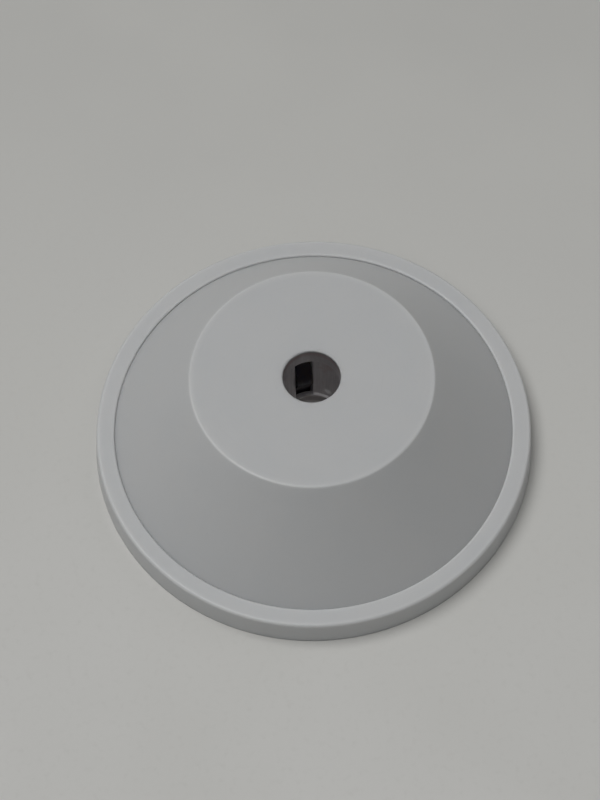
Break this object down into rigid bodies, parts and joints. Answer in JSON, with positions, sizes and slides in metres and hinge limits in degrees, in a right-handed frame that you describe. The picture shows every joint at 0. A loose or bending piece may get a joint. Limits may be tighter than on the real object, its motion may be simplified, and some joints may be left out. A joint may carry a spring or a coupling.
{
  "type": "thread spool cap",
  "caption": "White flanged cone that slides on a sewing machine's spool pin and holds the thread spool; a spring leaf in its steel-lined bore grips the pin.",
  "frame": {"origin": "centre of the flange's foot, on the plane that the cap stands on", "axes": "+Z along the bore, from the flange towards the flat top; +Y towards the spring leaf"},
  "size_m": [0.044, 0.044, 0.013],
  "materials": {
    "white_plastic": "satin moulded white plastic",
    "sleeve_steel": "dull drawn steel, dark with wear",
    "spring_steel": "blued spring steel"
  },
  "bodies": {
    "cap": {"cap_shell": "white_plastic", "pin_sleeve": "sleeve_steel"},
    "leaf": {"grip_leaf": "spring_steel"}
  },
  "joints": [
    {"name": "leaf_flex", "type": "hinge", "parent": "cap", "child": "leaf", "pos_m": [0, 0.00358, 0.00125], "axis": [-1, 0, 0], "range_deg": [0, 3], "stiffness_Nm_per_rad": 0.05}
  ]
}
